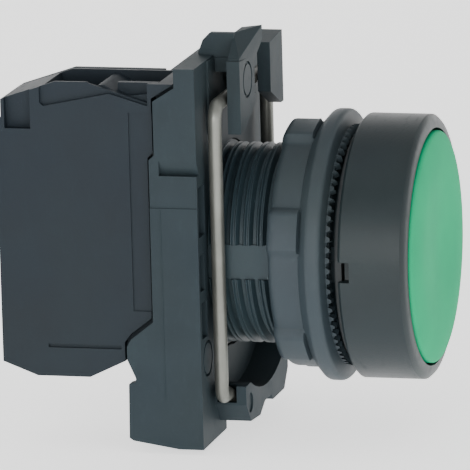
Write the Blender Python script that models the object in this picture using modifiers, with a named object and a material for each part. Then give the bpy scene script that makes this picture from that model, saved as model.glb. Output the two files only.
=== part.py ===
"""Panel push button, 22 mm type: flush head, fixing nut, mounting collar and one contact block.

Every part hangs on the empty front_axis, whose local frame is millimetres turned into metres:
x is the right-hand side seen from the front, y is up and z is forward, out of the panel.
"""
import math

import bmesh
import bpy

MM = 0.001
GAP = 0.3                  # clearance between neighbouring pieces
BARREL_R = 11.0            # the standard 22 mm control unit
BEZEL_R = 14.5
BEZEL_FRONT = 7.5
CAP_R = 12.7
CAP_CREST = 8.35
COLLAR_FRONT = -15.2
COLLAR_BACK = -20.5
COLLAR_HALF = 15.0
COLLAR_TOP = 22.0          # over the left bay
BODY_TOP = 20.0            # over the other two
BORE_R = BARREL_R + 0.35
LUG_FRONT = -11.5
LUG_THICK = 1.45
WIRE_R = 0.75
LEG_X = 11.5
LEG_U = -13.9
BLOCK_NEAR = -14.3         # the block fills the left-hand bay of the collar
BLOCK_FAR = -5.0
BLOCK_FRONT = COLLAR_BACK - GAP
BLOCK_BACK = -37.7
BLOCK_TOP = 20.2
BLOCK_FOOT = -12.4
COVER_THICK = 0.8
WALL = 1.5
PLUNGER_X = -8.3           # contact axis, under the pusher's skirt
CONTACT_Y = 4.3            # tips above and below that axis
TERMINAL_X = -9.4
TERMINALS = {"upper": 14.0, "lower": -8.2}
ROUND = 56                 # steps of a large turned surface


for old in list(bpy.data.objects):
    bpy.data.objects.remove(old, do_unlink=True)

PARTS = bpy.data.collections.new("panel_push_button")
CUTTERS = bpy.data.collections.new("cutters")
for group in (PARTS, CUTTERS):
    bpy.context.scene.collection.children.link(group)

FRONT_AXIS = bpy.data.objects.new("front_axis", None)
FRONT_AXIS.rotation_euler = (math.radians(90), 0, 0)
PARTS.objects.link(FRONT_AXIS)


def material(name, color, roughness, metallic=0.0):
    made = bpy.data.materials.new(name)
    made.use_nodes = True
    shader = made.node_tree.nodes["Principled BSDF"]
    shader.inputs["Base Color"].default_value = (*color, 1.0)
    shader.inputs["Roughness"].default_value = roughness
    shader.inputs["Metallic"].default_value = metallic
    made.diffuse_color = (*color, 1.0)
    return made


def place(obj, x=0.0, y=0.0, z=0.0):
    """Hang obj on the front axis, at millimetre coordinates."""
    obj.parent = FRONT_AXIS
    obj.location = (x * MM, y * MM, z * MM)
    return obj


def add(name, mesh, at=(0.0, 0.0, 0.0)):
    obj = bpy.data.objects.new(name, mesh)
    PARTS.objects.link(obj)
    return place(obj, *at)


def box(name, x, y, z):
    """A box between the low and high values of x, y and z."""
    bm = bmesh.new()
    bmesh.ops.create_cube(bm, size=1.0)
    size = [(pair[1] - pair[0]) * MM for pair in (x, y, z)]
    bmesh.ops.scale(bm, vec=size, verts=bm.verts)
    mesh = bpy.data.meshes.new(name)
    bm.to_mesh(mesh)
    bm.free()
    return add(name, mesh, [sum(pair) / 2 for pair in (x, y, z)])


def hull(name, points):
    """The convex solid around (x, y, z) points."""
    bm = bmesh.new()
    for point in points:
        bm.verts.new([value * MM for value in point])
    bmesh.ops.convex_hull(bm, input=bm.verts)
    mesh = bpy.data.meshes.new(name)
    bm.to_mesh(mesh)
    bm.free()
    return add(name, mesh)


def rod(name, radius, z, x=0.0, y=0.0, steps=24):
    """A cylinder along the front axis, from z[0] at the back to z[1] at the front."""
    bm = bmesh.new()
    bmesh.ops.create_cone(
        bm, cap_ends=True, segments=steps, radius1=radius * MM, radius2=radius * MM,
        depth=(z[1] - z[0]) * MM,
    )
    mesh = bpy.data.meshes.new(name)
    bm.to_mesh(mesh)
    bm.free()
    return add(name, mesh, (x, y, sum(z) / 2))


def turned(name, profile, steps=ROUND, closed=True):
    """A profile of (radius, z) that runs down its outer side, turned about the front axis."""
    mesh = bpy.data.meshes.new(name)
    points = [(r * MM, 0.0, z * MM) for r, z in profile]
    edges = [(i, i + 1) for i in range(len(points) - 1)]
    if closed:
        edges.append((len(points) - 1, 0))
    mesh.from_pydata(points, edges, [])
    obj = add(name, mesh)
    turn = obj.modifiers.new("turn", "SCREW")
    turn.axis = "Z"
    turn.steps = steps
    turn.render_steps = steps
    turn.use_merge_vertices = True
    turn.merge_threshold = 0.00001
    return obj


def curve(name, splines, cyclic, dimensions="2D"):
    data = bpy.data.curves.new(name, "CURVE")
    data.dimensions = dimensions
    for points in splines:
        spline = data.splines.new("POLY")
        spline.points.add(len(points) - 1)
        for knot, point in zip(spline.points, points):
            spot = list(point) + [0.0] * (3 - len(point))
            knot.co = (*[value * MM for value in spot], 1.0)
        spline.use_cyclic_u = cyclic
    return data


def to_mesh(obj):
    """The curve obj as a mesh object of the same name and place, with its caps welded."""
    bpy.context.view_layer.update()
    graph = bpy.context.evaluated_depsgraph_get()
    mesh = bpy.data.meshes.new_from_object(obj.evaluated_get(graph))
    bm = bmesh.new()
    bm.from_mesh(mesh)
    bmesh.ops.remove_doubles(bm, verts=bm.verts, dist=0.000001)
    bmesh.ops.recalc_face_normals(bm, faces=bm.faces)
    bm.to_mesh(mesh)
    bm.free()
    name = obj.name
    place_now = obj.matrix_world.copy()
    bpy.data.objects.remove(obj, do_unlink=True)
    solid = bpy.data.objects.new(name, mesh)
    PARTS.objects.link(solid)
    solid.parent = FRONT_AXIS
    solid.matrix_world = place_now
    mesh.name = name
    return solid


def plate(name, outlines, depth, sideways=False):
    """Flat outlines given a thickness.

    Front plates have (x, y) points and run over depth in z. Sideways plates have (z, y)
    points and run over depth in x.
    """
    data = curve(name, outlines, True)
    data.fill_mode = "BOTH"
    data.extrude = (depth[1] - depth[0]) / 2 * MM
    obj = bpy.data.objects.new(name, data)
    PARTS.objects.link(obj)
    middle = sum(depth) / 2
    if sideways:
        place(obj, x=middle)
        obj.rotation_euler = (0, math.radians(-90), 0)
    else:
        place(obj, z=middle)
    return to_mesh(obj)


def ring(name, depth, x, y, radius=2.0, width=0.3):
    """The witness ring of an ejector pin, as a cutter."""
    outlines = [circle(radius, x=x, y=y), circle(radius - width, x=x, y=y)]
    return plate(name, outlines, depth)


def wire(name, points, radius):
    data = curve(name, [points], False, "3D")
    data.bevel_depth = radius * MM
    data.bevel_resolution = 2
    data.use_fill_caps = True
    obj = bpy.data.objects.new(name, data)
    PARTS.objects.link(obj)
    place(obj)
    return to_mesh(obj)


def coil(name, mean_radius, wire_radius, z, turns, x=0.0, per_turn=12):
    """A compression spring about the axis through x, between z[0] and z[1]."""
    count = int(turns * per_turn)
    low = z[0] + wire_radius
    rise = (z[1] - z[0] - 2 * wire_radius) / count
    points = []
    for i in range(count + 1):
        angle = math.tau * i / per_turn
        points.append((
            x + mean_radius * math.cos(angle), mean_radius * math.sin(angle), low + i * rise,
        ))
    return wire(name, points, wire_radius)


def boolean(target, tool, operation):
    step = target.modifiers.new(tool.name, "BOOLEAN")
    step.operation = operation
    step.solver = "EXACT"
    step.object = tool
    tool.hide_render = True
    tool.display_type = "WIRE"
    PARTS.objects.unlink(tool)
    CUTTERS.objects.link(tool)


def cut(target, *tools):
    for tool in tools:
        boolean(target, tool, "DIFFERENCE")


def join(target, *tools):
    for tool in tools:
        boolean(target, tool, "UNION")


def circle(radius, steps=ROUND, x=0.0, y=0.0):
    return [
        (x + radius * math.cos(math.tau * i / steps), y + radius * math.sin(math.tau * i / steps))
        for i in range(steps)
    ]


def finish(obj, surface, smooth=False):
    """Give obj its own material; smooth is for round pieces."""
    obj.data.materials.clear()
    obj.data.materials.append(surface)
    for face in obj.data.polygons:
        face.use_smooth = smooth
    for step in obj.modifiers:
        if step.type == "SCREW":
            step.use_smooth_shade = smooth
    return obj


# ---- head ----

def build_bezel():
    seat = 0.45                     # depth of the gasket's recess
    ring = turned("bezel", [
        (CAP_R + GAP, BEZEL_FRONT), (13.3, BEZEL_FRONT), (14.1, 7.25), (BEZEL_R, 6.85),
        (BEZEL_R, 0.3), (BEZEL_R - 0.3, 0.0), (13.4, 0.0), (13.4, seat),
        (BORE_R, seat), (BORE_R, seat + 0.5), (CAP_R + GAP, seat + 0.5),
    ], steps=72)
    for side in (-1, 1):
        cut(ring, box(
            "bezel_notch_" + ("left" if side < 0 else "right"),
            sorted((side * 12.9, side * 14.8)), (-1.1, 1.1), (-0.5, 1.28),
        ))
    return finish(ring, material("bezel_plastic", (0.045, 0.060, 0.070), 0.45), True)


def build_gasket():
    ring = turned("panel_gasket", [
        (BORE_R, 0.15), (13.1, 0.15), (13.1, -0.5), (12.95, -0.65), (BORE_R, -0.65),
    ])
    return finish(ring, material("gasket_rubber", (0.02, 0.022, 0.025), 0.8), True)


def build_barrel():
    tube = turned("head_barrel", [
        (9.7, 1.75), (CAP_R, 1.75), (CAP_R, 1.25), (BARREL_R, 1.25), (BARREL_R, -15.5),
        (10.5, -16.0), (9.7, -16.0), (9.7, -8.5), (4.95, -8.5), (4.95, -7.5), (9.7, -7.5),
    ])
    for side in (-1, 1):
        cut(tube, box(
            "key_slot_" + ("left" if side < 0 else "right"),
            sorted((side * 10.35, side * 11.5)), (-1.9, 1.9), (-17.0, -0.9),
        ))
    cut(tube, box("top_key", (-1.2, 1.2), (10.3, 11.5), (-17.0, -12.9)))
    return finish(tube, material("barrel_plastic", (0.030, 0.042, 0.050), 0.5), True)


def build_cap():
    """A shallow dish with a raised ring, a short skirt and a boss behind it."""
    cap = turned("push_cap", [
        (0.0, 7.9), (3.0, 7.92), (5.5, 8.03), (7.5, 8.25), (8.8, CAP_CREST), (10.2, 8.28),
        (11.6, 8.08), (12.4, 7.85), (CAP_R, 7.5), (CAP_R, 6.4), (11.5, 6.4), (11.5, 7.1),
        (2.6, 7.1), (2.6, 3.6), (0.0, 3.6),
    ], closed=False)
    return finish(cap, material("cap_green", (0.048, 0.497, 0.269), 0.35), True)


def build_stem():
    """The pusher: a disc behind the cap, a guided tube and the skirt that drives the blocks."""
    stem = turned("push_stem", [
        (0.0, 3.2), (2.9, 3.2), (2.9, 6.8), (11.2, 6.8), (11.2, 6.35), (4.6, 6.35),
        (4.6, -9.2), (9.2, -10.4), (9.2, -14.7), (7.5, -14.7), (7.5, -11.4), (0.0, -10.6),
    ], closed=False, steps=48)
    return finish(stem, material("stem_plastic", (0.55, 0.55, 0.52), 0.5), True)


def build_diaphragm():
    seal = turned("diaphragm_seal", [
        (9.9, 6.05), (10.9, 6.05), (10.6, 4.3), (12.4, 2.6), (12.4, 2.05), (10.2, 2.05),
        (10.2, 2.5), (9.9, 4.2),
    ], steps=48)
    return finish(seal, material("seal_rubber", (0.10, 0.10, 0.10), 0.8), True)


def build_return_spring():
    spring = coil("return_spring", 6.4, 0.45, (-7.2, 6.05), 6.0)
    return finish(spring, material("spring_steel", (0.5, 0.5, 0.5), 0.3, 1.0), True)


def build_nut():
    """A flanged ring with six lobes for the spanner."""
    ring = turned("fixing_nut", [
        (BORE_R, -1.0), (12.9, -1.0), (13.15, -1.2), (13.2, -1.6), (14.6, -1.95), (14.9, -2.3),
        (14.9, -3.3), (14.55, -4.1), (13.9, -4.7), (12.6, -4.8), (12.6, -7.8), (BORE_R, -7.8),
    ], steps=72)
    base, lobe, lobes, steps = 13.4, 14.2, 6, 108
    first_lobe, lobe_end, flank = math.radians(42.75), math.radians(13), math.radians(4.5)
    outline = []
    for i in range(steps):
        angle = math.tau * i / steps
        off = abs(math.remainder(angle - first_lobe, math.tau / lobes))
        near = min(max((lobe_end - off) / flank, 0.0), 1.0)
        radius = base + (lobe - base) * near * near * (3 - 2 * near)
        outline.append((radius * math.cos(angle), radius * math.sin(angle)))
    join(ring, plate("nut_lobes", [outline, circle(12.0, 40)], (-8.1, -4.5)))
    return finish(ring, material("nut_plastic", (0.075, 0.100, 0.112), 0.45), True)


# ---- mounting collar ----

def collar_side():
    """The left bay's side outline as (z, y) points."""
    return [
        (COLLAR_FRONT, COLLAR_TOP), (-17.5, COLLAR_TOP), (-17.5, 19.9), (-19.9, 18.4),
        (-19.9, 12.5), (COLLAR_BACK, 11.95), (COLLAR_BACK, -5.95), (-23.0, -7.9),
        (-23.5, -8.7), (-23.5, -10.2), (-22.6, -12.2), (-22.6, -12.65), (-23.4, -12.9),
        (-23.5, -18.9), (-23.0, -19.2), (-17.9, -20.0), (COLLAR_FRONT, -20.0),
    ]


def foot_guard():
    """The outline of the wall below the barrel, with a lug at each end, as (x, y) points."""
    return [
        (-7.0, -11.0), (-7.0, -14.1), (-9.5, -14.1), (-9.5, -16.2), (-7.6, -18.4), (-3.4, -18.7), (-2.4, -18.2), (-1.2, -17.6),
        (1.6, -17.6), (2.4, -18.3), (7.6, -18.3), (9.5, -16.2), (9.5, -11.0),
    ]


def wire_channel():
    """The channel around the foot of the wire spring, as (x, y) points."""
    right = [
        (6.0, -16.0), (8.5, -14.05), (11.2, -14.05), (11.2, -15.95), (8.9, -15.95), (6.4, -17.9),
    ]
    return right + [(-x, y) for x, y in reversed(right)]


def build_collar():
    frame = plate("collar_frame", [collar_side()], (-COLLAR_HALF, -4.8), sideways=True)
    back = COLLAR_FRONT - 0.6
    join(
        frame,
        box("collar_body", (-5.2, COLLAR_HALF), (-18.2, BODY_TOP),
            (COLLAR_BACK + 0.1, COLLAR_FRONT - 0.1)),
        plate("collar_rib", [[
            (-16.9, 19.0), (-16.9, 22.3), (-16.4, 23.6), (-15.6, 24.4), (-12.9, 24.4), (-12.9, 19.0),
        ]], (-6.2, -5.3), sideways=True),
        hull("hood", [
            (-9.0, 21.0, -12.9), (-9.0, 21.0, -11.65), (-2.6, 20.6, -11.65), (-2.6, 20.6, -13.3),
            (-8.9, 22.1, -12.9), (-8.9, 22.1, -11.65), (-5.4, 24.3, -13.1), (-1.85, 24.3, -13.1),
            (-0.3, 24.3, -11.2), (-0.3, 22.7, -11.2), (-1.85, 22.7, -13.1),
        ]),
        plate("foot_guard", [foot_guard()], (back, -11.7)),
    )
    for side in (-1, 1):
        name = "left" if side < 0 else "right"
        inner, outer = (2.9, 9.5) if side < 0 else (4.1, 9.8)
        join(frame, plate("top_lug_" + name, [[
            (side * inner, 16.0), (side * (outer - 1.1), 13.9), (side * outer, 13.9),
            (side * outer, 21.9), (side * inner, 21.5),
        ]], (back, LUG_FRONT)))
        cut(frame, box(
            "top_lug_hollow_" + name, sorted((side * (inner - 0.5), side * (outer + 1.0))),
            (11.0, 20.2), (COLLAR_FRONT + 0.2, LUG_FRONT - LUG_THICK),
        ))
    bays = {"left": (-13.6, -5.7), "centre": (-4.5, 4.5), "right": (5.7, 13.6)}
    for name, span in bays.items():
        low = -18.3 if name == "left" else -16.6
        cut(frame, box("bay_" + name, span, (low, 17.6), (-25.0, -17.2)))
    cut(
        frame,
        rod("nut_clearance", 15.9, (COLLAR_FRONT + 0.1, -10.0), steps=ROUND),
        rod("collar_bore", BORE_R, (-26.0, -14.0), steps=ROUND),
        plate("wire_channel", [wire_channel()], (LEG_U - 1.1, LEG_U + 1.1)),
        box("lug_gap", (-11.0, -6.5), (19.0, 23.0), (COLLAR_FRONT + 0.2, LUG_FRONT - LUG_THICK)),
        box("upper_step", (-15.5, -14.88), (6.7, 23.0), (-21.5, -14.5)),
        plate("side_pocket", [[(-15.5, 13.1), (-14.0, 10.25), (-15.5, 10.25)]], (-19.4, -14.5)),
        box("upper_window", (-14.5, -11.9), (3.4, 8.9), (-18.0, -15.0)),
        box("middle_window", (-14.5, -12.6), (-2.6, 1.4), (-18.0, -15.0)),
        box("lower_window", (-14.2, -11.9), (-7.9, -3.9), (-18.0, -15.0)),
        ring("lug_mark", (LUG_FRONT - 0.2, LUG_FRONT + 1), x=-6.0, y=19.3),
        ring("plate_mark", (COLLAR_FRONT - 0.25, COLLAR_FRONT + 1), x=-12.1, y=-10.4),
        rod("foot_mark", 1.1, (-11.9, -11.0), x=-7.6, y=-16.3, steps=16),
    )
    return finish(frame, material("collar_plastic", (0.062, 0.083, 0.093), 0.5))


def build_wire_spring():
    """Two legs down the front of the collar, joined behind the foot lugs, hooked in at the top."""
    top, entry, foot = 17.3, -15.0, -16.95
    bend, foot_bend = 1.6, 1.2
    half = [(4.6, top, LEG_U)]
    for i in range(0, 6):
        angle = math.radians(90 - 18 * i)
        half.append((
            LEG_X - bend + bend * math.cos(angle), top - bend + bend * math.sin(angle), LEG_U,
        ))
    for i in range(0, 6):
        angle = math.radians(18 * i)
        half.append((
            LEG_X - foot_bend * (1 - math.cos(angle)),
            entry + foot_bend - foot_bend * math.sin(angle), LEG_U,
        ))
    half += [(8.6, entry, LEG_U), (6.4, foot, LEG_U)]
    other = [(-x, y, z) for x, y, z in reversed(half)]
    spring = wire("wire_spring", half + other, WIRE_R)
    return finish(spring, material("wire_steel", (0.29, 0.30, 0.27), 0.3, 1.0), True)


def build_release_lever():
    """A ribbed tongue between the top lugs, hinged just below the hood."""
    ribs = []
    for level in (16.0, 16.8, 17.6):
        ribs += [(-13.2, level - 0.3), (-12.9, level), (-13.2, level + 0.3)]
    lever = plate("release_lever", [
        [(-14.6, 20.2), (-14.6, 15.9), (-14.2, 15.3), (-13.2, 15.3)] + ribs + [(-13.2, 20.2)],
    ], (-2.3, 3.2), sideways=True)
    return finish(lever, material("lever_plastic", (0.060, 0.080, 0.088), 0.5))


# ---- contact block ----

def block_side(lid=False):
    """The block's side outline as (z, y) points; the lid is notched for the collar's wall."""
    outline = [
        (-31.0, BLOCK_TOP), (-37.1, 18.2), (-37.1, 16.3),
        (BLOCK_BACK, 15.8), (BLOCK_BACK, -10.9), (-33.8, BLOCK_FOOT), (-27.9, BLOCK_FOOT),
        (-23.9, -10.5),
    ]
    if lid:
        return outline + [
            (-23.9, -8.4), (-23.2, -7.5), (BLOCK_FRONT, -5.6), (BLOCK_FRONT, BLOCK_TOP),
        ]
    return outline + [
        (BLOCK_FRONT, -10.0), (BLOCK_FRONT, 12.05), (-20.2, 12.65), (-20.2, 18.6),
        (-17.8, 20.1), (-17.8, BLOCK_TOP),
    ]


def hollow_side():
    """The inside of the housing, under a thick roof that holds the upper wire funnel."""
    back, front = BLOCK_BACK + 1.3, BLOCK_FRONT - 1.3
    return [
        (front, 16.8), (back + 0.3, 16.8), (back, 16.5), (back, -9.9), (-33.4, -11.1),
        (-28.2, -11.1), (-24.2, -9.4), (front, -9.2),
    ]


def build_housing():
    far = BLOCK_FAR - COVER_THICK - GAP
    near = BLOCK_NEAR - 1
    shell = plate("block_housing", [block_side()], (BLOCK_NEAR, far), sideways=True)
    cut(
        shell,
        plate("block_hollow", [hollow_side()], (BLOCK_NEAR + WALL, far + 1), sideways=True),
        plate("collar_clearance", [[
            (-20.5, -5.4), (-23.2, -7.5), (-23.9, -8.4), (-23.9, -13.0), (-20.5, -13.0),
        ]], (near, -13.3), sideways=True),
        rod("plunger_hole", 1.4, (-23.0, -20.0), x=PLUNGER_X),
        plate("wire_trough", [[
            (-32.7, 21.0), (-31.7, 17.9), (-27.9, 17.9), (-26.3, 19.8), (-25.6, 19.8),
            (-23.4, 18.6), (-20.9, 18.9), (-19.6, 19.7), (-19.4, 21.0),
        ]], (-13.5, far - 0.5), sideways=True),
        box("upper_funnel", (-12.4, -6.6), (16.0, 18.5), (-31.5, -27.1)),
        box("lower_funnel", (-12.4, -6.6), (-13.0, -10.5), (-32.2, -27.9)),
        plate("rear_recess", [[
            (near, 15.0), (BLOCK_NEAR + 1.0, 15.0), (BLOCK_NEAR + 0.4, 21.0), (near, 21.0),
        ]], (-36.7, -33.8)),
        plate("side_recess", [[
            (-32.7, 21.0), (-32.7, 17.9), (-32.3, 17.55), (-24.9, 19.05), (-20.6, 17.75),
            (-20.6, 21.0),
        ]], (near, BLOCK_NEAR + 0.4), sideways=True),
        plate("side_ramp", [[
            (-28.6, 21.0), (-27.2, 20.05), (-20.6, 18.0), (-20.6, 21.0),
        ]], (near, -13.3), sideways=True),
        box("front_strip", (near, BLOCK_NEAR + 0.15), (-4.9, 17.0), (-22.8, -20.0)),
        box("foot_groove", (near, BLOCK_NEAR + 0.3), (-9.2, -8.8), (-32.5, -24.3)),
    )
    join(shell, box("trough_rib", (-12.3, -11.5), (18.0, 19.95), (-24.4, -19.9)))
    for name, level in TERMINALS.items():
        cut(shell, rod(name + "_screw_access", 2.1, (-39.0, -36.0), x=TERMINAL_X, y=level))
    return finish(shell, material("block_plastic", (0.055, 0.074, 0.086), 0.5))


def build_cover():
    lid = plate("block_cover", [block_side(lid=True)],
                (BLOCK_FAR - COVER_THICK, BLOCK_FAR), sideways=True)
    return finish(lid, material("cover_plastic", (0.050, 0.068, 0.080), 0.5))


def build_plunger():
    plunger = turned("contact_plunger", [
        (0.0, -15.0), (0.9, -15.0), (1.1, -15.2), (1.1, -22.3), (1.9, -22.3), (1.9, -22.8),
        (1.1, -22.8), (1.1, -28.6), (0.0, -28.6),
    ], closed=False, steps=20)
    place(plunger, x=PLUNGER_X)
    return finish(plunger, material("plunger_plastic", (0.6, 0.12, 0.05), 0.5), True)


def build_contacts():
    brass = material("contact_brass", (0.60, 0.42, 0.18), 0.35, 1.0)
    silver = material("tip_silver", (0.80, 0.80, 0.78), 0.25, 1.0)
    zinc = material("screw_steel", (0.55, 0.55, 0.53), 0.35, 1.0)
    clamp_steel = material("clamp_steel", (0.45, 0.45, 0.43), 0.45, 1.0)
    bridge = box("contact_bridge", (PLUNGER_X - 2.2, PLUNGER_X + 2.2), (-5.6, 5.6), (-26.5, -25.7))
    cut(bridge, rod("bridge_hole", 1.4, (-27.0, -25.0), x=PLUNGER_X))
    finish(bridge, brass)
    for name, level in TERMINALS.items():
        side = math.copysign(1.0, level)
        tip_y = side * CONTACT_Y
        finish(rod("moving_tip_" + name, 1.1, (-27.4, -26.8), PLUNGER_X, tip_y, 20), silver, True)
        finish(rod("fixed_tip_" + name, 1.1, (-31.0, -30.4), PLUNGER_X, tip_y, 20), silver, True)
        strip = box("fixed_contact_" + name, (-12.5, -6.4), sorted((side * 2.9, level + side * 2.3)),
                    (-32.3, -31.3))
        cut(strip, rod(name + "_strip_hole", 1.8, (-33, -30), TERMINAL_X, level))
        finish(strip, brass)
        clamp = box("terminal_clamp_" + name, (TERMINAL_X - 2.9, TERMINAL_X + 2.9),
                    (level - 2.2, level + 2.2), (-28.6, -27.4))
        cut(clamp, rod(name + "_clamp_hole", 1.8, (-29.0, -27.0), TERMINAL_X, level))
        finish(clamp, clamp_steel)
        screw = turned("terminal_screw_" + name, [
            (0.0, -26.3), (1.2, -26.3), (1.5, -26.6), (1.5, -32.6), (2.0, -32.6), (2.0, -34.6),
            (1.8, -34.8), (0.0, -34.8),
        ], closed=False, steps=24)
        place(screw, x=TERMINAL_X, y=level)
        cut(
            screw,
            box(name + "_slot_across", (TERMINAL_X - 3, TERMINAL_X + 3),
                (level - 0.3, level + 0.3), (-35.5, -33.9)),
            box(name + "_slot_upright", (TERMINAL_X - 0.3, TERMINAL_X + 0.3),
                (level - 1.5, level + 1.5), (-35.5, -33.9)),
        )
        finish(screw, zinc, True)


def build_block_springs():
    steel = material("block_spring_steel", (0.55, 0.55, 0.55), 0.3, 1.0)
    finish(coil("bridge_spring", 1.5, 0.15, (-25.4, -23.1), 2.5, PLUNGER_X, 8), steel, True)
    finish(coil("plunger_spring", 1.4, 0.2, (-36.1, -28.9), 5.0, PLUNGER_X, 8), steel, True)


build_bezel()
build_gasket()
build_barrel()
build_cap()
build_stem()
build_diaphragm()
build_return_spring()
build_nut()
build_collar()
build_wire_spring()
build_release_lever()
build_housing()
build_cover()
build_plunger()
build_contacts()
build_block_springs()
bpy.context.view_layer.update()
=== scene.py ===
import math
import bpy
import bmesh
from mathutils import Matrix, Vector


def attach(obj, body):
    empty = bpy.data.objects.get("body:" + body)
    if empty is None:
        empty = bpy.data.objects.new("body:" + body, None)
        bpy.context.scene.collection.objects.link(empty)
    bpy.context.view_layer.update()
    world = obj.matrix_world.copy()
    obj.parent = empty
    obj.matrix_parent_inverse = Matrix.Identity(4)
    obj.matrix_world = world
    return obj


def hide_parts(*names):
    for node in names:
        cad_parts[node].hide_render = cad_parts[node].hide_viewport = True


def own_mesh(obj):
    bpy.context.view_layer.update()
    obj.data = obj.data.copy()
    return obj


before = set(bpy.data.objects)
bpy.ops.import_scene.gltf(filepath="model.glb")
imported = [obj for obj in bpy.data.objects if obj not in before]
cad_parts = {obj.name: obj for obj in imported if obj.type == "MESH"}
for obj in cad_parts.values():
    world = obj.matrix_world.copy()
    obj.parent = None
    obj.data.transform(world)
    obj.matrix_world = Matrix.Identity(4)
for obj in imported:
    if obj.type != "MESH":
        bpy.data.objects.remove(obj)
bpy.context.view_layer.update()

mm = 0.001

print("stage: materials")


class Value:
    # a number on a wire in a node tree; Python's operators add the Math nodes

    def __init__(self, graph, socket):
        self.graph = graph
        self.socket = socket

    def math(self, operation, *numbers):
        return self.graph.add("ShaderNodeMath", {"operation": operation}, list(numbers))

    def __add__(self, other):
        return self.math("ADD", self, other)

    def __radd__(self, other):
        return self.math("ADD", other, self)

    def __sub__(self, other):
        return self.math("SUBTRACT", self, other)

    def __rsub__(self, other):
        return self.math("SUBTRACT", other, self)

    def __mul__(self, other):
        return self.math("MULTIPLY", self, other)

    def __rmul__(self, other):
        return self.math("MULTIPLY", other, self)


class Graph:
    # one material's node tree

    def __init__(self, name):
        self.material = bpy.data.materials.new(name)
        self.material.use_nodes = True
        self.tree = self.material.node_tree
        self.shader = self.tree.nodes["Principled BSDF"]

    def add(self, kind, settings, inputs, output=0):
        node = self.tree.nodes.new(kind)
        for key, value in settings.items():
            if key == "stops":
                ramp = node.color_ramp
                for element, (place, shade) in zip(ramp.elements, value):
                    element.position = place
                    element.color = (shade, shade, shade, 1)
            else:
                setattr(node, key, value)
        pairs = inputs.items() if isinstance(inputs, dict) else enumerate(inputs)
        for key, value in pairs:
            self.feed(node.inputs[key], value)
        return Value(self, node.outputs[output])

    def feed(self, socket, value):
        if isinstance(value, Value):
            self.tree.links.new(value.socket, socket)
        else:
            socket.default_value = value

    def set(self, **inputs):
        for name, value in inputs.items():
            self.feed(self.shader.inputs[name.replace("_", " ")], value)

    def place(self, scale=(1, 1, 1)):
        where = self.add("ShaderNodeTexCoord", {}, [], output="Object")
        return self.add("ShaderNodeMapping", {}, {"Vector": where, "Scale": scale})

    def noise(self, scale, detail=3.0, stretch=(1, 1, 1), roughness=0.5):
        return self.add("ShaderNodeTexNoise", {}, {
            "Vector": self.place(stretch), "Scale": scale, "Detail": detail, "Roughness": roughness,
        })

    def ramp(self, value, low, high):
        # 0 below low, 1 above high
        return self.add("ShaderNodeValToRGB", {"stops": [(low, 0.0), (high, 1.0)]}, [value])

    def mix(self, factor, one, other):
        return self.add("ShaderNodeMix", {"data_type": "RGBA"}, {0: factor, 6: one, 7: other}, output=2)

    def bump(self, height, distance, strength=1.0):
        return self.add("ShaderNodeBump", {}, {
            "Height": height, "Distance": distance, "Strength": strength,
        })


def tone(color, gain):
    return (*[min(part * gain, 1.0) for part in color], 1.0)


# scales of the moulded plastics' patterns, coarse to fine, and the depth of the grain
mouldedLook = {
    "drift": 55, "cloud": 170, "scuff": 420, "dust": 1500, "grain": 3200, "grainDepth": 0.02 * mm,
    "coolShift": (0.80, 0.90, 1.06),
}


def mouldedPlastic(name, look):
    # a satin moulding: cloudy tone, spark-eroded grain, a few rubbed and scuffed places
    graph = Graph(name)
    color = look["color"]
    cloud = graph.noise(mouldedLook["cloud"], 4.0)
    scuff = graph.ramp(graph.noise(mouldedLook["scuff"], 6.0, (1, 3, 1), 0.62), 0.56, 0.72)
    dust = graph.ramp(graph.noise(mouldedLook["dust"], 3.0), 0.60, 0.78)
    drift = graph.ramp(graph.noise(mouldedLook["drift"], 2.0), 0.38, 0.62)
    grain = graph.noise(mouldedLook["grain"], 2.0)
    cooler = [part * shift for part, shift in zip(color, mouldedLook["coolShift"])]
    base = graph.mix(graph.ramp(cloud, 0.3, 0.7), tone(color, 0.88), tone(color, 1.12))
    base = graph.mix(drift * 0.55, base, tone(cooler, 0.92))
    base = graph.mix(scuff * look.get("scuff", 0.25), base, tone(color, 1.55))
    base = graph.mix(dust * look.get("dust", 0.10), base, tone(color, 1.8))
    graph.set(
        Base_Color=base,
        Roughness=look["roughness"] + (cloud - 0.5) * 0.18 + scuff * 0.10,
        Normal=graph.bump(grain, mouldedLook["grainDepth"], 0.55),
        Specular_IOR_Level=look.get("specular", 0.28),
    )
    return graph.material


def evenPlastic(name, look):
    # the cap: one plain colour with faint clouds and hairline scratches
    graph = Graph(name)
    color = look["color"]
    cloud = graph.noise(120, 3.0)
    hair = graph.ramp(graph.noise(260, 7.0, (1, 1, 14), 0.7), 0.60, 0.74)
    base = graph.mix(graph.ramp(cloud, 0.3, 0.7), tone(color, 0.93), tone(color, 1.07))
    base = graph.mix(hair * 0.08, base, tone(color, 1.4))
    graph.set(
        Base_Color=base,
        Roughness=look["roughness"] + hair * 0.12 + (cloud - 0.5) * 0.08,
        Normal=graph.bump(graph.noise(1800, 2.0), 0.012 * mm, 0.35),
        Specular_IOR_Level=look["specular"],
    )
    return graph.material


def metal(name, look):
    # drawn or stamped metal: streaks along one axis, dull patches and fine pits
    graph = Graph(name)
    color = look["color"]
    streak = graph.noise(900, 4.0, look["stretch"])
    patch = graph.noise(260, 4.0)
    base = graph.mix(graph.ramp(patch, 0.35, 0.7), tone(color, 0.82), tone(color, 1.12))
    base = graph.mix(graph.ramp(streak, 0.5, 0.75) * 0.35, base, tone(color, 0.7))
    graph.set(
        Base_Color=base,
        Roughness=look["roughness"] + (streak - 0.5) * 0.22 + (patch - 0.5) * 0.12,
        Normal=graph.bump(streak, 0.012 * mm, 0.5),
        Metallic=look["metallic"],
    )
    return graph.material


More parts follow.
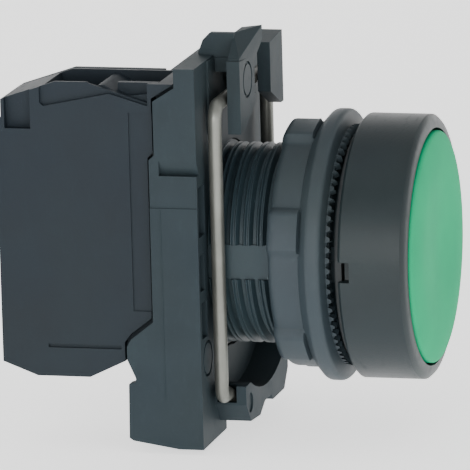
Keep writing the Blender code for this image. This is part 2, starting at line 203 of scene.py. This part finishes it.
def rubber(name, look):
    graph = Graph(name)
    color = look["color"]
    bloom = graph.ramp(graph.noise(500, 5.0), 0.45, 0.75)
    graph.set(
        Base_Color=graph.mix(bloom * 0.5, tone(color, 1.0), tone(color, 1.7)),
        Roughness=0.72 + bloom * 0.16,
        Normal=graph.bump(graph.noise(2400, 3.0), 0.03 * mm, 0.6),
    )
    return graph.material


finishes = {
    "bezel": mouldedPlastic("bezelPlastic", {
        "color": (0.012, 0.0195, 0.0215), "roughness": 0.40, "scuff": 0.12, "dust": 0.06,
    }),
    "barrel": mouldedPlastic("barrelPlastic", {"color": (0.024, 0.040, 0.046), "roughness": 0.46}),
    "nut": mouldedPlastic("nutPlastic", {"color": (0.031, 0.043, 0.048), "roughness": 0.50}),
    "collar": mouldedPlastic("collarPlastic", {
        "color": (0.0222, 0.0325, 0.0370), "roughness": 0.58, "specular": 0.14,
    }),
    "lever": mouldedPlastic("leverPlastic", {
        "color": (0.014, 0.022, 0.025), "roughness": 0.56, "specular": 0.14,
    }),
    "block": mouldedPlastic("blockPlastic", {
        "color": (0.0128, 0.0190, 0.0240), "roughness": 0.56, "specular": 0.18,
    }),
    "cover": mouldedPlastic("coverPlastic", {
        "color": (0.0126, 0.0185, 0.0232), "roughness": 0.56, "specular": 0.18,
    }),
    "stem": mouldedPlastic("stemPlastic", {"color": (0.52, 0.52, 0.48), "roughness": 0.5}),
    "plunger": mouldedPlastic("plungerPlastic", {"color": (0.50, 0.09, 0.04), "roughness": 0.45}),
    "cap": evenPlastic("capGreen", {
        "color": (0.0005, 0.345, 0.150), "roughness": 0.6, "specular": 0.03,
    }),
    "gasket": rubber("gasketRubber", {"color": (0.018, 0.022, 0.024)}),
    "seal": rubber("sealRubber", {"color": (0.050, 0.050, 0.050)}),
    "wire": metal("springWire", {
        "color": (0.205, 0.210, 0.190), "roughness": 0.42, "metallic": 0.65, "stretch": (3, 3, 0.2),
    }),
    "coil": metal("coilWire", {
        "color": (0.55, 0.55, 0.54), "roughness": 0.28, "metallic": 1.0, "stretch": (1, 3, 1),
    }),
    "brass": metal("stampedBrass", {
        "color": (0.70, 0.47, 0.20), "roughness": 0.34, "metallic": 1.0, "stretch": (3, 1, 0.3),
    }),
    "silver": metal("contactSilver", {
        "color": (0.80, 0.80, 0.78), "roughness": 0.26, "metallic": 1.0, "stretch": (1, 1, 1),
    }),
    "zinc": metal("zincPlate", {
        "color": (0.56, 0.57, 0.56), "roughness": 0.36, "metallic": 1.0, "stretch": (1, 0.4, 1),
    }),
}

print("stage: pieces")

# points nearer than this are one point
weld = 0.002 * mm


def piece(name, mesh, body, nodes, finish, smooth=35):
    obj = bpy.data.objects.new(name, mesh)
    bpy.context.scene.collection.objects.link(obj)
    mesh.materials.clear()
    mesh.materials.append(finishes[finish])
    mesh.shade_smooth()
    mesh.set_sharp_from_angle(angle=math.radians(smooth))
    weigh = obj.modifiers.new("weighNormals", "WEIGHTED_NORMAL")
    weigh.keep_sharp = True
    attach(obj, body)
    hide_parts(*nodes)
    return obj


def toMesh(bm, name):
    mesh = bpy.data.meshes.new(name)
    bm.to_mesh(mesh)
    bm.free()
    return mesh


def vertsOf(made):
    return [item for item in made["geom"] if isinstance(item, bmesh.types.BMVert)]


def outline(bm, profile, closed):
    # profile is (radius, forward) in millimetres, beside the button's axis
    points = [bm.verts.new((radius * mm, -ahead * mm, 0)) for radius, ahead in profile]
    edges = [bm.edges.new(pair) for pair in zip(points, points[1:])]
    if closed:
        edges.append(bm.edges.new((points[-1], points[0])))
    return points + edges


def revolve(bm, profile, steps, closed=True):
    bmesh.ops.spin(
        bm, geom=outline(bm, profile, closed), cent=(0, 0, 0), axis=(0, 1, 0), angle=math.tau,
        steps=steps, use_merge=True,
    )


def lathe(profile, steps, closed=True):
    bm = bmesh.new()
    revolve(bm, profile, steps, closed)
    bmesh.ops.remove_doubles(bm, verts=bm.verts, dist=weld)
    bmesh.ops.recalc_face_normals(bm, faces=bm.faces)
    return bm


def arc(centre, radius, start, end, count):
    # points of a rounded corner in a profile, angles in degrees from straight out
    return [
        (
            centre[0] + radius * math.cos(math.radians(start + (end - start) * i / count)),
            centre[1] + radius * math.sin(math.radians(start + (end - start) * i / count)),
        )
        for i in range(count + 1)
    ]


def sharpEdges(bm, degrees):
    return [
        edge for edge in bm.edges
        if edge.is_manifold and edge.calc_face_angle(0) > math.radians(degrees)
    ]


def copyOf(node):
    bm = bmesh.new()
    bm.from_mesh(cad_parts[node].data)
    bmesh.ops.remove_doubles(bm, verts=bm.verts, dist=weld)
    return bm


def roundedCopy(node, width, degrees=30, segments=2):
    # the node's own solid with its sharp moulded edges eased
    bm = copyOf(node)
    bmesh.ops.dissolve_limit(
        bm, angle_limit=math.radians(1.0), verts=bm.verts, edges=bm.edges,
        use_dissolve_boundaries=False,
    )
    bmesh.ops.bevel(
        bm, geom=sharpEdges(bm, degrees), offset=width * mm, offset_type="OFFSET",
        affect="EDGES", segments=segments, profile=0.5, clamp_overlap=True, material=-1,
    )
    return bm


# the cap: a shallow dish inside a ring crest that falls away to a rounded edge
capLook = {
    "radius": 12.7, "crest": 8.35, "crestRadius": 8.9, "dish": 7.88, "fall": 0.42, "shoulder": 12.35,
    "round": 0.4, "roundLevel": 7.52, "skirt": 11.5, "skirtEnd": 6.4, "underside": 7.1,
    "boss": 2.6, "bossEnd": 3.6, "steps": 144, "dishRings": 12, "fallRings": 6,
}


def makeCap():
    look = capLook
    radius, crest, crestRadius = look["radius"], look["crest"], look["crestRadius"]
    profile = [(0.0, look["dish"])]
    for i in range(1, look["dishRings"] + 1):
        share = i / look["dishRings"]
        lift = share * share * (3 - 2 * share)
        profile.append((crestRadius * share, look["dish"] + (crest - look["dish"]) * lift))
    for i in range(1, look["fallRings"] + 1):
        share = i / look["fallRings"]
        reach = crestRadius + (look["shoulder"] - crestRadius) * share
        profile.append((reach, crest - look["fall"] * share * share))
    profile += arc((radius - look["round"], look["roundLevel"]), look["round"], 70, 0, 5)
    profile += [(radius, look["skirtEnd"]), (look["skirt"], look["skirtEnd"])]
    profile += [(look["skirt"], look["underside"]), (look["boss"], look["underside"])]
    profile += [(look["boss"], look["bossEnd"]), (0.0, look["bossEnd"])]
    bm = lathe(profile, look["steps"], closed=False)
    piece("pushCap", toMesh(bm, "pushCap"), "button", ["push_cap"], "cap")


# one turn of the thread is an outline of (depth below the crest, way along the axis)
threadLook = {
    "major": 11.0, "pitch": 1.5, "start": -0.4, "end": -15.6, "perTurn": 96,
    "ridge": [
        (0.75, 0.0), (0.75, -0.16), (0.06, -0.40), (0.0, -0.44), (0.0, -0.52), (0.24, -0.66),
        (0.24, -0.80), (0.0, -0.94), (0.0, -1.02), (0.06, -1.06), (0.75, -1.32), (0.75, -1.5),
    ],
    "landHalf": 1.9, "landReach": 10.35, "bore": 9.7,
    "shoulder": [(9.9, -15.5), (11.25, -15.5), (11.25, -15.95), (9.9, -15.95)],
}


def makeBarrel():
    # a helical thread with twin-lipped crests, trimmed square, and a flat land on each side
    look = threadLook
    pitch = look["pitch"]
    turns = math.ceil((look["start"] - look["end"]) / pitch) + 2
    first = look["start"] + pitch
    bm = bmesh.new()
    ridge = [(look["major"] - below, first + along) for below, along in look["ridge"]]
    steps = turns * look["perTurn"]
    bmesh.ops.spin(
        bm, geom=outline(bm, ridge, closed=False), cent=(0, 0, 0), axis=(0, 1, 0),
        angle=math.tau * turns, dvec=(0, pitch * turns * mm / steps, 0), steps=steps, use_merge=False,
    )
    bmesh.ops.remove_doubles(bm, verts=bm.verts, dist=weld * 2)
    trims = [
        ((0, -look[level] * mm, 0), (0, side, 0), True) for level, side in (("start", -1), ("end", 1))
    ]
    trims += [((0, 0, side * look["landHalf"] * mm), (0, 0, 1), False) for side in (-1, 1)]
    for place, normal, clear in trims:
        bmesh.ops.bisect_plane(
            bm, geom=bm.verts[:] + bm.edges[:] + bm.faces[:], plane_co=place, plane_no=normal,
            clear_outer=clear,
        )
    for side in (-1, 1):
        land = [
            face for face in bm.faces
            if face.calc_center_median().x * side > 0
            and all(abs(vert.co.z) < (look["landHalf"] + 0.01) * mm for vert in face.verts)
        ]
        for vert in vertsOf(bmesh.ops.extrude_face_region(bm, geom=land)):
            vert.co.x = side * look["landReach"] * mm
        bmesh.ops.delete(bm, geom=land, context="FACES")
    rims = [edge for edge in bm.edges if edge.is_boundary]
    for vert in vertsOf(bmesh.ops.extrude_edge_only(bm, edges=rims)):
        reach = math.hypot(vert.co.x, vert.co.z)
        vert.co.x *= look["bore"] * mm / reach
        vert.co.z *= look["bore"] * mm / reach
    inner = [edge for edge in bm.edges if edge.is_boundary]
    bmesh.ops.bridge_loops(bm, edges=inner)
    # the rear shoulder that fills the collar's bore
    revolve(bm, look["shoulder"], look["perTurn"])
    bmesh.ops.recalc_face_normals(bm, faces=bm.faces)
    piece("headBarrel", toMesh(bm, "headBarrel"), "housing", ["head_barrel"], "barrel", 32)


# the nut: a ring of fine teeth in front, a round flange, and a body with six grip lobes
nutLook = {
    "bore": 11.35, "seat": -1.45, "rear": -8.1,
    "toothRing": [(12.35, -1.45), (12.35, -1.0), (13.05, -1.0), (13.2, -1.15), (13.2, -1.62)],
    "teeth": 72, "perTooth": 4, "toothRise": 0.5, "toothShare": 0.45,
    "slope": [(13.35, -1.66), (14.45, -1.92)],
    "flange": 14.9, "flangeRound": 0.55, "flangeFront": -2.45, "flangeMiddle": -3.0, "flangeRear": -3.2,
    "neck": [(14.1, -4.15), (13.75, -4.4), (13.45, -4.6)],
    "body": 13.4, "bodyRings": (-4.9, -6.0, -7.0), "bodyRound": 0.9, "rearEdge": 11.8, "boreChamfer": 0.1,
    "lobes": 6, "lobeAngle": 42.75, "lobeRise": 0.85, "lobeHalf": 10.0, "lobeBlend": 4.4,
    "lobesFrom": -4.45,
}


def nutProfile():
    look = nutLook
    edge = look["flange"] - look["flangeRound"]
    corner = (look["body"] - look["bodyRound"], look["rear"] + look["bodyRound"])
    profile = [(look["bore"], look["seat"])] + look["toothRing"] + look["slope"]
    profile += arc((edge, look["flangeFront"]), look["flangeRound"], 80, 0, 5)
    profile += [(look["flange"], look["flangeMiddle"])]
    profile += arc((edge, look["flangeRear"]), look["flangeRound"], 0, -60, 5)
    profile += look["neck"] + [(look["body"], ahead) for ahead in look["bodyRings"]]
    profile += arc(corner, look["bodyRound"], 0, -90, 6)
    profile += [(look["rearEdge"], look["rear"]), (look["bore"], look["rear"] + look["boreChamfer"])]
    return profile


def makeNut():
    look = nutLook
    bm = lathe(nutProfile(), look["teeth"] * look["perTooth"])
    inner, outer = look["toothRing"][0][0], look["toothRing"][-1][0]
    for vert in bm.verts:
        ahead = -vert.co.y / mm
        reach = math.hypot(vert.co.x, vert.co.z) / mm
        turn = math.degrees(math.atan2(vert.co.z, vert.co.x))
        if ahead > -1.2 and inner - 0.05 < reach < outer + 0.1:
            phase = (turn * look["teeth"] / 360) % 1.0
            if phase > look["toothShare"]:
                vert.co.y += look["toothRise"] * mm
        if ahead < look["lobesFrom"] and reach > look["rearEdge"] + 0.1:
            off = abs(math.remainder(turn - look["lobeAngle"], 360 / look["lobes"]))
            near = (look["lobeHalf"] - off) / look["lobeBlend"] + 0.5
            near = min(max(near, 0.0), 1.0)
            grow = 1 + look["lobeRise"] / look["body"] * near * near * (3 - 2 * near)
            vert.co.x *= grow
            vert.co.z *= grow
    bmesh.ops.recalc_face_normals(bm, faces=bm.faces)
    piece("fixingNut", toMesh(bm, "fixingNut"), "nut", ["fixing_nut"], "nut", 28)


wireLook = {
    "leg": 11.5, "ahead": -13.9, "radius": 0.75, "sides": 20, "bendSteps": 10,
    "top": 17.3, "topBend": 1.6, "hookEnd": 4.6, "entry": -15.0, "entryBend": 1.2,
    "foot": [(8.9, -15.0), (8.3, -15.25), (6.7, -16.7), (6.1, -16.95)],
}


def makeWire():
    # one bent wire: two legs joined across the foot and hooked inward at the top
    look = wireLook
    steps = look["bendSteps"]
    half = [(look["hookEnd"], look["top"])]
    for sign, level, bend in ((1, look["top"], look["topBend"]), (-1, look["entry"], look["entryBend"])):
        for i in range(steps + 1):
            turn = math.radians(90 * (steps - i if sign > 0 else i) / steps)
            half.append((
                look["leg"] - bend + bend * math.cos(turn),
                level - sign * bend * (1 - math.sin(turn)),
            ))
    half += look["foot"]
    path = half + [(-x, z) for x, z in reversed(half)]
    bm = bmesh.new()
    for i, (x, z) in enumerate(path):
        before, after = path[max(i - 1, 0)], path[min(i + 1, len(path) - 1)]
        along = Vector((after[0] - before[0], 0, after[1] - before[1])).normalized()
        turn = Matrix(((along.z, 0, -along.x), (0, 1, 0), along)).transposed().to_4x4()
        here = Matrix.Translation(Vector((x, -look["ahead"], z)) * mm) @ turn
        if i == 0:
            bmesh.ops.create_circle(
                bm, cap_ends=True, segments=look["sides"], radius=look["radius"] * mm, matrix=here,
            )
            tip = bm.faces[:]
        else:
            made = bmesh.ops.extrude_face_region(bm, geom=tip)
            if i > 1:
                bmesh.ops.delete(bm, geom=tip, context="FACES_ONLY")
            tip = [item for item in made["geom"] if isinstance(item, bmesh.types.BMFace)]
            bmesh.ops.transform(bm, matrix=here @ there.inverted(), verts=vertsOf(made))
        there = here
    bmesh.ops.recalc_face_normals(bm, faces=bm.faces)
    piece("wireSpring", toMesh(bm, "wireSpring"), "housing", ["wire_spring"], "wire", 40)


makeCap()
makeBarrel()
makeNut()
makeWire()

# moulded parts keep their solids, with the edges eased
eased = {
    "bezel": ("bezelRing", "housing", "bezel", 0.10, 40),
    "collar_frame": ("mountingCollar", "housing", "collar", 0.16, 30),
    "block_housing": ("blockHousing", "housing", "block", 0.16, 30),
    "block_cover": ("blockCover", "housing", "cover", 0.12, 30),
    "release_lever": ("releaseLever", "lever", "lever", 0.10, 30),
}
mouldLine = {
    "ahead": -19.35, "span": (-14.6, 6.6), "width": 0.12, "thick": 0.3, "stand": 0.04, "side": -15.0,
}


def addMouldLine(bm):
    # the flash line down the collar's near side
    look = mouldLine
    low, high = look["span"]
    middle = look["side"] - look["stand"] + look["thick"] / 2
    made = bmesh.ops.create_cube(bm, size=1.0)["verts"]
    bmesh.ops.scale(bm, verts=made, vec=(look["thick"] * mm, look["width"] * mm, (high - low) * mm))
    bmesh.ops.translate(bm, verts=made, vec=(
        middle * mm, -look["ahead"] * mm, (low + high) / 2 * mm,
    ))


# its outline is (forward, up)
shoulderLip = {
    "across": (-12.9, -12.5),
    "outline": [(-20.1, 18.7), (-17.9, 20.05), (-17.73, 19.76), (-19.93, 18.41)],
}


def addShoulderLip(bm):
    # a thin lip that closes the slit between the block's shoulder and the collar
    near, far = shoulderLip["across"]
    side = bm.faces.new([
        bm.verts.new((near * mm, -ahead * mm, z * mm)) for ahead, z in shoulderLip["outline"]
    ])
    made = vertsOf(bmesh.ops.extrude_face_region(bm, geom=[side]))
    bmesh.ops.translate(bm, vec=((far - near) * mm, 0, 0), verts=made)
    lip = {face for vert in [*side.verts, *made] for face in vert.link_faces}
    bmesh.ops.recalc_face_normals(bm, faces=list(lip))


extras = {"collar_frame": addMouldLine, "block_housing": addShoulderLip}
for node, (name, body, finish, width, degrees) in eased.items():
    bm = roundedCopy(node, width, degrees)
    if node in extras:
        extras[node](bm)
    piece(name, toMesh(bm, name), body, [node], finish)

# what shortens as the button goes in: its fixed end in millimetres forward, and the share kept
shortened = {
    "return_spring": ("returnSpring", "housing", "coil", "return_spring", -7.2, 0.683),
    "diaphragm_seal": ("diaphragmSeal", "housing", "seal", "seal", 1.8, 0.07),
    "plunger_spring": ("plungerSpring", "housing", "coil", "block_spring", -36.1, 0.417),
    "bridge_spring": ("bridgeSpring", "bridge", "coil", "block_spring", -25.4, 0.39),
}
for node, (name, body, finish, slotName, fixedEnd, keep) in shortened.items():
    obj = piece(name, toMesh(copyOf(node), name), body, [node], finish)
    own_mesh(obj)

kept = {
    "panel_gasket": "gasket", "push_stem": "stem", "contact_plunger": "plunger",
    "contact_bridge": "brass",
    "fixed_contact_upper": "brass", "fixed_contact_lower": "brass",
    "moving_tip_upper": "silver", "moving_tip_lower": "silver",
    "fixed_tip_upper": "silver", "fixed_tip_lower": "silver",
    "terminal_screw_upper": "zinc", "terminal_screw_lower": "zinc",
    "terminal_clamp_upper": "zinc", "terminal_clamp_lower": "zinc",
}
for node, finish in kept.items():
    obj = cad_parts[node]
    obj.data.materials.clear()
    obj.data.materials.append(finishes[finish])

print("stage: floor, lights and camera")

stageLook = {
    "floor": -0.0206, "size": 1.9, "backdrop": 0.3, "paper": (0.90, 0.90, 0.89), "world": 0.75,
    "glow": 1.2,
}


def makeStage():
    # a round floor whose rim rises into a low backdrop
    bm = bmesh.new()
    bmesh.ops.create_circle(bm, cap_ends=True, segments=96, radius=stageLook["size"])
    bmesh.ops.translate(bm, vec=(0, 0, stageLook["floor"]), verts=bm.verts)
    rim = [edge for edge in bm.edges if edge.is_boundary]
    made = vertsOf(bmesh.ops.extrude_edge_only(bm, edges=rim))
    bmesh.ops.translate(bm, vec=(0, 0, stageLook["backdrop"]), verts=made)
    floor = bpy.data.objects.new("floor", toMesh(bm, "floor"))
    bpy.context.scene.collection.objects.link(floor)
    paper = Graph("paper")
    cloud = paper.noise(6, 3.0)
    paper.set(
        Base_Color=paper.mix(cloud, tone(stageLook["paper"], 0.985), tone(stageLook["paper"], 1.0)),
        Roughness=0.9,
        Emission_Color=(1.0, 1.0, 1.0, 1.0),
        Emission_Strength=stageLook["glow"],
    )
    floor.data.materials.append(paper.material)
    world = bpy.data.worlds.new("studio")
    world.use_nodes = True
    sky = world.node_tree.nodes["Background"]
    sky.inputs["Color"].default_value = (1.0, 1.0, 1.0, 1.0)
    sky.inputs["Strength"].default_value = stageLook["world"]
    bpy.context.scene.world = world


lamps = {
    "keyLight": {"spot": (-0.70, 0.02, 0.19), "size": 0.30, "watts": 1.7},
    "topLight": {"spot": (-0.10, 0.30, 0.60), "size": 0.35, "watts": 0.25},
    "lowFill": {"spot": (-0.45, -0.35, 0.14), "size": 0.24, "watts": 0.45},
    "farFill": {"spot": (0.60, 0.30, 0.22), "size": 0.30, "watts": 0.6},
}


def makeLamps():
    for name, look in lamps.items():
        lamp = bpy.data.lights.new(name, "AREA")
        lamp.energy = look["watts"]
        lamp.size = look["size"]
        obj = bpy.data.objects.new(name, lamp)
        bpy.context.scene.collection.objects.link(obj)
        obj.visible_camera = False
        obj.location = look["spot"]
        obj.rotation_euler = (-Vector(look["spot"])).to_track_quat("-Z", "Y").to_euler()


cameraLook = {
    "target": (0.0, 0.01494, 0.00068), "distance": 0.8, "frameWidth": 0.0516,
    "right": (0.2449, -0.9695, -0.0263), "up": (0.2101, 0.0264, 0.9772),
    "back": (-0.9470, -0.2450, 0.2100),
}


def makeCamera():
    look = cameraLook
    lens = bpy.data.cameras.new("camera")
    lens.sensor_width = 36.0
    lens.lens = 36.0 * look["distance"] / look["frameWidth"]
    lens.clip_start = 0.01
    lens.clip_end = 50.0
    camera = bpy.data.objects.new("camera", lens)
    bpy.context.scene.collection.objects.link(camera)
    back = Vector(look["back"]).normalized()
    up = (Vector(look["up"]) - back * Vector(look["up"]).dot(back)).normalized()
    right = up.cross(back)
    turn = Matrix((right, up, back)).transposed()
    spot = Vector(look["target"]) + back * look["distance"]
    camera.matrix_world = Matrix.Translation(spot) @ turn.to_4x4()
    bpy.context.scene.camera = camera


makeStage()
makeLamps()
makeCamera()

print("stage: done")
